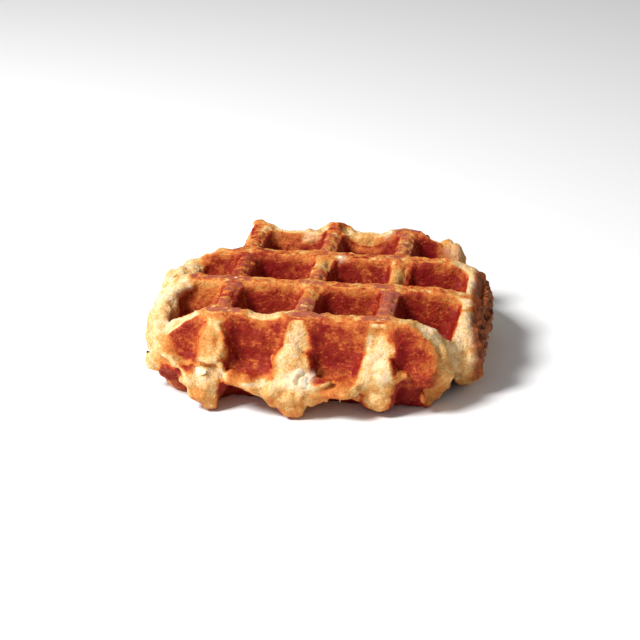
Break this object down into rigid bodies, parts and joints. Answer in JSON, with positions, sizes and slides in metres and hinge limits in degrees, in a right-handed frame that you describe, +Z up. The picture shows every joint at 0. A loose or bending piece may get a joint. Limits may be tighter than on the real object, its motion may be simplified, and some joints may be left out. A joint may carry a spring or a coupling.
{
  "type": "belgian waffle",
  "caption": "Thick pearl-sugar Belgian waffle with deep square pockets on both faces and ragged free ridge ends, resting flat",
  "frame": {"origin": "under the middle of the waffle's box, on the surface it rests on", "axes": "+Z up out of the upper pockets, X along the crossways ridges with +X to the right of someone at the front, +Y from the front edge with the leaning ridge ends to the back"},
  "size_m": [0.109, 0.1006, 0.028],
  "materials": {
    "baked_dough": "caramelised yeast dough: red-brown and glossy in the pockets, golden on the ridges, pale and matt where it never met the iron"
  },
  "bodies": {
    "root": {"waffle": "baked_dough"}
  },
  "joints": []
}
